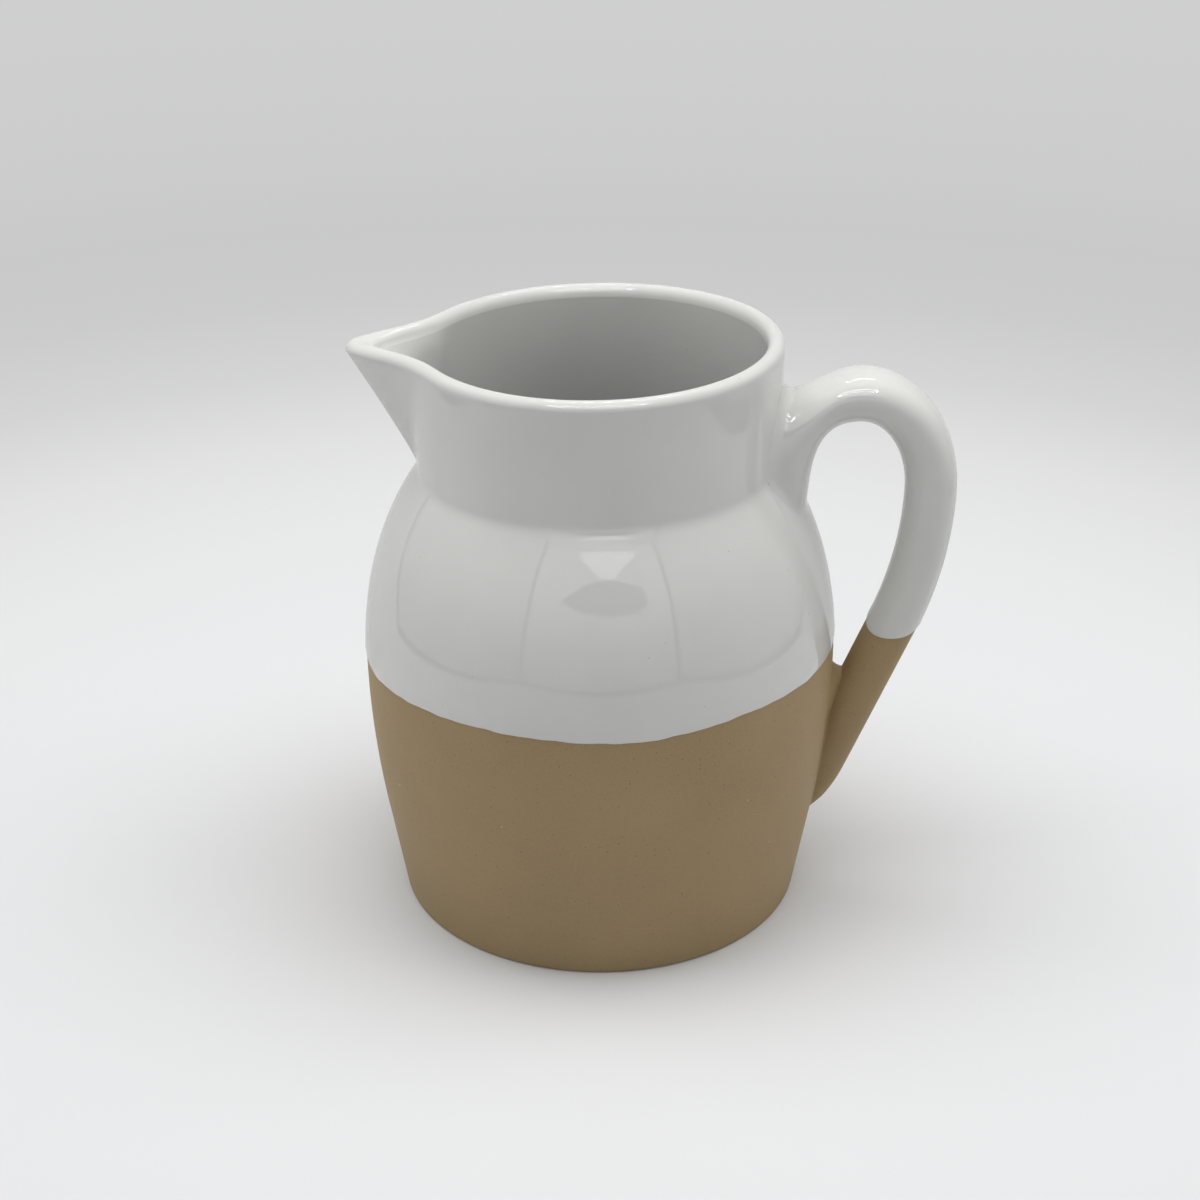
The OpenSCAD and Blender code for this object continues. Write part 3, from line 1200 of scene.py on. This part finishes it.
@dataclass(frozen=True)
class BareClay(Finish):
    """Bare fired stoneware: matt tan clay with fine grain, dark grog and a rare pale speck."""

    name: str = "bare_clay"
    color: Triple = (0.298, 0.213, 0.108)
    roughness: float = 0.62
    ior: float = 1.45
    mottle: float = 0.27
    cloud_scale: float = 24.0
    cloud_detail: float = 4.0
    relief_scale: float = 1400.0
    relief_detail: float = 4.0
    relief_strength: float = 0.35
    relief_depth: float = 0.00012
    specks: tuple[Specks, ...] = (
        Specks(900.0, 0.30, 0.16, (0.16, 0.11, 0.065), 0.55),
        Specks(500.0, 0.22, 0.012, (0.58, 0.52, 0.42), 0.8),
    )

    def tone(self, tree: Tree, cloud: Node, relief: Node) -> Node:
        """Adds the tone as the glaze has it, with the fine grain added to the clouding."""
        both = add_node(tree, "Math", operation="ADD")
        levels = {"From Max": 2.0, "To Min": 1.0 - self.mottle, "To Max": 1.0 + self.mottle}
        tone = add_node(tree, "MapRange", levels)
        wire(tree, (relief, "Fac", both, 0), (cloud, "Fac", both, 1), (both, "Value", tone, "Value"))
        return tone


@dataclass(frozen=True)
class Panel:
    """A soft lamp: a flat panel that faces a point."""

    name: str
    place: Triple
    size: Pair
    glow: float
    aim: Triple

    def hang(self) -> None:
        """Hangs the panel; neither the camera nor the glaze sees it."""
        data = bpy.data.lights.new(self.name, "AREA")
        data.shape = "RECTANGLE"
        data.size, data.size_y = self.size
        data.energy = math.pi * self.size[0] * self.size[1] * self.glow
        panel = bpy.data.objects.new(self.name, data)
        panel.location = self.place
        away = Vector(self.place) - Vector(self.aim)
        panel.rotation_euler = away.to_track_quat("Z", "Y").to_euler()
        panel.visible_camera = panel.visible_glossy = False
        bpy.context.collection.objects.link(panel)


PANELS = (
    Panel("top", (0.03, 0.02, 0.95), (1.5, 0.65), 3.7, (0.03, 0.02, 0.0)),
    Panel("close", (-0.06, -0.08, 0.62), (0.4, 0.4), 0.8, (-0.06, -0.08, 0.0)),
    Panel("left", (-0.6, 0.0, 0.38), (1.0, 0.7), 0.82, (0.0, 0.0, 0.38)),
    Panel("right", (0.6, 0.0, 0.35), (1.0, 0.5), 1.05, (0.0, 0.0, 0.35)),
    Panel("front", (0.0, -0.75, 0.38), (1.0, 0.3), 1.55, (0.0, 0.0, 0.38)),
    Panel("back", (0.0, 0.65, 0.12), (1.0, 0.22), 2.8, (0.0, 0.0, 0.12)),
)


@dataclass
class Tent:
    """The inside of the light tent, as the glaze mirrors it; nothing else sees it.

    The opening and the flap are outlines of (x, z) on the front wall, and the sweep is one of (y, z).
    """

    half: float = 0.45
    front: float = -0.64
    roof: float = 0.85
    seam: float = 0.018
    front_glow: float = 1.6
    side_glow: float = 1.25
    back_glow: float = 0.65
    wall_low: float = 0.35
    wall_bright_z: float = 0.5
    roof_glow: float = 1.3
    opening_glow: float = 0.05
    flap_glow: float = 3.5
    diode_glow: float = 30.0
    sweep: tuple[Pair, ...] = ((0.11, 0.0), (0.195, 0.08), (0.265, 0.206), (0.31, 0.45), (0.33, 0.85))
    opening: tuple[Pair, ...] = (
        (-0.22, 0.375), (-0.105, 0.46), (0.06, 0.495), (0.25, 0.46),
        (0.28, 0.375), (0.21, 0.315), (0.07, 0.3), (-0.095, 0.32)
    )
    flap: tuple[Pair, ...] = (
        (-0.15, 0.72), (0.26, 0.72), (0.2, 0.63), (0.08, 0.5), (0.0, 0.5), (-0.13, 0.64)
    )
    frame_rows: Pair = (-0.58, -0.37)
    frame_reach: float = 0.28
    frame_bar: float = 0.03
    diode_size: Pair = (0.016, 0.06)
    diode_pitch: float = 0.04
    back_row: Pair = (-0.12, 0.24)
    back_heights: Pair = (0.74, 0.84)
    front_gap: float = 0.002
    diode_gap: float = 0.005

    @staticmethod
    def glowing(name: str, glow: float, sampling: Sampling) -> Material:
        """Makes an even glow.

        Args:
            name: The material's name.
            glow: Its brightness.
            sampling: How its light is sampled.

        Returns:
            The material.
        """
        material = bpy.data.materials.new(name)
        material.cycles.emission_sampling = sampling.value
        material.use_nodes = True
        tree = material.node_tree
        light = add_node(tree, "Emission", {"Strength": glow})
        wire(tree, (light, "Emission", tree.nodes["Material Output"], "Surface"))
        return material

    def dim_low(self, card: Piece, glow: float) -> None:
        """Makes a wall dimmer towards the floor.

        Args:
            card: The wall.
            glow: Its brightness high up.
        """
        tree = card.data.materials[0].node_tree
        place = add_node(tree, "TexCoord")
        split = add_node(tree, "SeparateXYZ")
        levels = {"From Max": self.wall_bright_z, "To Min": glow * self.wall_low, "To Max": glow}
        level = add_node(tree, "MapRange", levels, interpolation_type="SMOOTHSTEP")
        wire(
            tree,
            (place, "Object", split, "Vector"),
            (split, "Z", level, "Value"),
            (level, "Result", tree.nodes["Emission"], "Strength"),
        )

    def card(
        self, name: str, corners: Sequence[Triple], glow: float, sampling: Sampling = Sampling.WIDE
    ) -> Piece:
        """Adds a flat glowing card that only gloss shows.

        Args:
            name: The card's name.
            corners: Its corners in order.
            glow: Its brightness.
            sampling: How its light is sampled.

        Returns:
            The card.
        """
        clear_selection()
        bpy.ops.mesh.primitive_circle_add(vertices=len(corners), radius=1.0, fill_type="NGON")
        card = named(name)
        for vertex, corner in zip(card.data.vertices, corners):
            vertex.co = corner
        card.data.materials.append(self.glowing(name, glow, sampling))
        card.visible_camera = card.visible_diffuse = card.visible_shadow = False
        return card

    def sewn_card(self, name: str, corners: Sequence[Triple], glow: float) -> None:
        """Adds a wall whose edge is a dark seam.

        Args:
            name: The card's name.
            corners: Its corners in order.
            glow: Its brightness inside the seam, high up.
        """
        card = self.card(name, corners, glow)
        with editing():
            bpy.ops.mesh.inset(thickness=self.seam, depth=0.0)
        card.data.materials.append(self.glowing(f"{name}_seam", 0.0, Sampling.WIDE))
        for face in card.data.polygons:
            face.material_index = 0 if face.select else 1
        self.dim_low(card, glow)

    def walls(self) -> None:
        """Makes the side walls, the front wall and the sweep at the back."""
        outline = [(self.front, 0.0), *self.sweep, (self.front, self.roof)]
        for name, x in (("tent_left", -self.half), ("tent_right", self.half)):
            self.sewn_card(name, [(x, y, z) for y, z in outline], self.side_glow)
        low = [(-self.half, self.front, 0.0), (self.half, self.front, 0.0)]
        high = [(self.half, self.front, self.roof), (-self.half, self.front, self.roof)]
        self.sewn_card("tent_front", low + high, self.front_glow)
        for index, (start, end) in enumerate(zip(self.sweep, self.sweep[1:])):
            strip = [(-self.half, *start), (self.half, *start), (self.half, *end), (-self.half, *end)]
            self.card(f"tent_sweep_{index}", strip, self.back_glow)

    def roof_card(self) -> None:
        """Makes the roof."""
        back = self.sweep[-1][0]
        corners = [(-self.half, self.front), (self.half, self.front), (self.half, back), (-self.half, back)]
        self.card("tent_roof", [(x, y, self.roof) for x, y in corners], self.roof_glow)

    def front_details(self) -> None:
        """Makes the dark opening round the lens and the bright flap over it."""
        plane = self.front + self.front_gap
        self.card("tent_opening", [(x, plane, z) for x, z in self.opening], self.opening_glow)
        self.card("tent_flap", [(x, plane, z) for x, z in self.flap], self.flap_glow)

    def row(self, name: str, corners: Sequence[Triple], reach: float) -> None:
        """Repeats a small bright card along X.

        Args:
            name: The row's name.
            corners: The corners of the first card, at the row's left end.
            reach: How far the row goes.
        """
        row = self.card(name, corners, self.diode_glow, Sampling.SMALL)
        repeat = row.modifiers.new("pitch", "ARRAY")
        repeat.count = int(reach / self.diode_pitch) + 1
        repeat.use_relative_offset = False
        repeat.use_constant_offset = True
        repeat.constant_offset_displace = (self.diode_pitch, 0.0, 0.0)

    def diodes(self) -> None:
        """Makes the frame of diodes under the roof, and the row high up at the back."""
        height = self.roof - self.diode_gap
        wide, deep = self.diode_size
        reach = self.frame_reach
        near, far = self.frame_rows
        for index, y in enumerate(self.frame_rows):
            low, high = y - deep / 2, y + deep / 2
            square = [(-reach, low), (wide - reach, low), (wide - reach, high), (-reach, high)]
            self.row(f"tent_diodes_{index}", [(x, depth, height) for x, depth in square], 2.0 * reach)
        for name, x in (("tent_bar_left", -reach - self.frame_bar), ("tent_bar_right", reach)):
            end = x + self.frame_bar
            corners = [(x, near, height), (end, near, height), (end, far, height), (x, far, height)]
            self.card(name, corners, self.diode_glow, Sampling.SMALL)
        first, last = self.back_row
        low, high = self.back_heights
        depth = self.sweep[-2][0] - self.diode_gap
        square = [(first, low), (first + wide, low), (first + wide, high), (first, high)]
        self.row("tent_diodes_back", [(x, depth, z) for x, z in square], last - first)

    def pitch_up(self) -> None:
        """Makes the whole tent."""
        self.walls()
        self.roof_card()
        self.front_details()
        self.diodes()


@dataclass
class Studio:
    """A pale floor, a light tent, soft lamps, and the camera.

    The tones are the far floor's painted brightness, darker away from the jug where the light falls off, as
    (distance from the jug, tone).
    """

    camera_y: float = -0.6186
    camera_z: float = 0.3965
    camera_down: float = 25.61
    lens: float = 63.0
    sensor: float = 36.0
    floor_size: float = 12.0
    floor_color: Triple = (0.665, 0.67, 0.678)
    floor_roughness: float = 0.9
    floor_gloss: float = 0.1
    tones_reach: float = 1.8
    tones: tuple[Pair, ...] = (
        (0.0, 0.82), (0.30, 0.82), (0.42, 0.76), (0.53, 0.66),
        (0.66, 0.60), (0.82, 0.585), (1.03, 0.605), (1.65, 0.625)
    )
    tone_tint: Triple = (0.993, 1.0, 0.995)
    lit_to: float = 0.16
    faded_from: float = 0.42
    far_color: Triple = (0.60, 0.615, 0.605)

    def make_camera(self) -> None:
        """Makes the camera at the photograph's angle."""
        data = bpy.data.cameras.new("camera")
        data.lens = self.lens
        data.sensor_width = self.sensor
        camera = bpy.data.objects.new("camera", data)
        camera.location = (0.0, self.camera_y, self.camera_z)
        camera.rotation_euler = (math.radians(90.0 - self.camera_down), 0.0, 0.0)
        bpy.context.collection.objects.link(camera)
        bpy.context.scene.camera = camera

    @staticmethod
    def seen_straight(tree: Tree) -> Node:
        """Adds nodes that give 1 to the camera, gloss and glass, and 0 to the light on surfaces."""
        path = add_node(tree, "LightPath")
        plain = add_node(tree, "Math", operation="MAXIMUM")
        seen = add_node(tree, "Math", operation="MAXIMUM")
        wire(
            tree,
            (path, "Is Camera Ray", plain, 0),
            (path, "Is Glossy Ray", plain, 1),
            (plain, "Value", seen, 0),
            (path, "Is Transmission Ray", seen, 1),
        )
        return seen

    def make_world(self) -> None:
        """Makes the backdrop that the camera and gloss see; it lights nothing, as the lamps do that."""
        world = bpy.data.worlds.new("studio_air")
        world.use_nodes = True
        tree = world.node_tree
        unlit = tree.nodes["Background"]
        unlit.inputs["Strength"].default_value = 0.0
        backdrop = add_node(tree, "Background", {"Color": opaque(self.far_color)})
        mix = add_node(tree, "MixShader")
        wire(
            tree,
            (self.seen_straight(tree), "Value", mix, "Fac"),
            (unlit, "Background", mix, 1),
            (backdrop, "Background", mix, 2),
            (mix, "Shader", tree.nodes["World Output"], "Surface"),
        )
        bpy.context.scene.world = world

    def make_floor(self) -> None:
        """Makes the pale floor: lit paper round the jug, which fades further off into the backdrop's glow,
        painted darker away from the jug as the light falls off.
        """
        clear_selection()
        bpy.ops.mesh.primitive_plane_add(size=self.floor_size)
        floor = named("floor")
        material = bpy.data.materials.new("floor_paper")
        material.use_nodes = True
        tree = material.node_tree
        shader = tree.nodes["Principled BSDF"]
        shader.inputs["Base Color"].default_value = opaque(self.floor_color)
        shader.inputs["Roughness"].default_value = self.floor_roughness
        shader.inputs["Specular IOR Level"].default_value = self.floor_gloss
        place = add_node(tree, "TexCoord")
        length = add_node(tree, "VectorMath", operation="LENGTH")
        reach = add_node(tree, "MapRange", {"From Max": self.tones_reach})
        # Painted light falloff: the far floor's glow for the camera and gloss is bright near the jug and
        # darker further off.
        ramp = add_node(tree, "ValToRGB")
        stops = ramp.color_ramp.elements
        while len(stops) < len(self.tones):
            stops.new(0.5)
        for stop, (far, tone) in zip(stops, self.tones):
            stop.position = far / self.tones_reach
            stop.color = opaque(tuple(tone * tint for tint in self.tone_tint))
        glow = add_node(tree, "Emission")
        span = {"From Min": self.lit_to, "From Max": self.faded_from}
        fade = add_node(tree, "MapRange", span, interpolation_type="SMOOTHSTEP")
        share = add_node(tree, "Math", operation="MULTIPLY")
        mix = add_node(tree, "MixShader")
        wire(
            tree,
            (place, "Object", length, 0),
            (length, "Value", reach, "Value"),
            (length, "Value", fade, "Value"),
            (reach, "Result", ramp, "Fac"),
            (ramp, "Color", glow, "Color"),
            (self.seen_straight(tree), "Value", share, 0),
            (fade, "Result", share, 1),
            (share, "Value", mix, "Fac"),
            (shader, "BSDF", mix, 1),
            (glow, "Emission", mix, 2),
            (mix, "Shader", tree.nodes["Material Output"], "Surface"),
        )
        floor.data.materials.append(material)

    def build(self) -> None:
        """Sets up the camera, the floor, the tent and the lamps."""
        self.make_camera()
        self.make_world()
        self.make_floor()
        Tent().pitch_up()
        for panel in PANELS:
            panel.hang()
        bpy.context.scene.view_settings.view_transform = "Standard"


def main() -> None:
    """Builds the jug, dresses it and sets up the studio."""
    logging.basicConfig(level=logging.INFO, format="%(name)s: %(message)s")
    specks = speck_group()
    glaze = WhiteGlaze().build(specks)
    # The lining's glaze colour is darker than the outer coat's: painted shade inside the bore.
    lining = WhiteGlaze("lining_white_painted_shade", (0.50, 0.50, 0.485)).build(specks)
    clay = BareClay().build(specks)
    body = ThrownBody()
    dip = Dip(body)
    coats = GlazeCoats(body, dip)
    handle = LoopHandle(body, dip)
    body.make_clay(clay)
    coats.make_outside(glaze)
    coats.make_lining(lining)
    handle.make_clay(clay)
    handle.make_glaze(glaze)
    Studio().build()


if __name__ == "__main__":
    main()
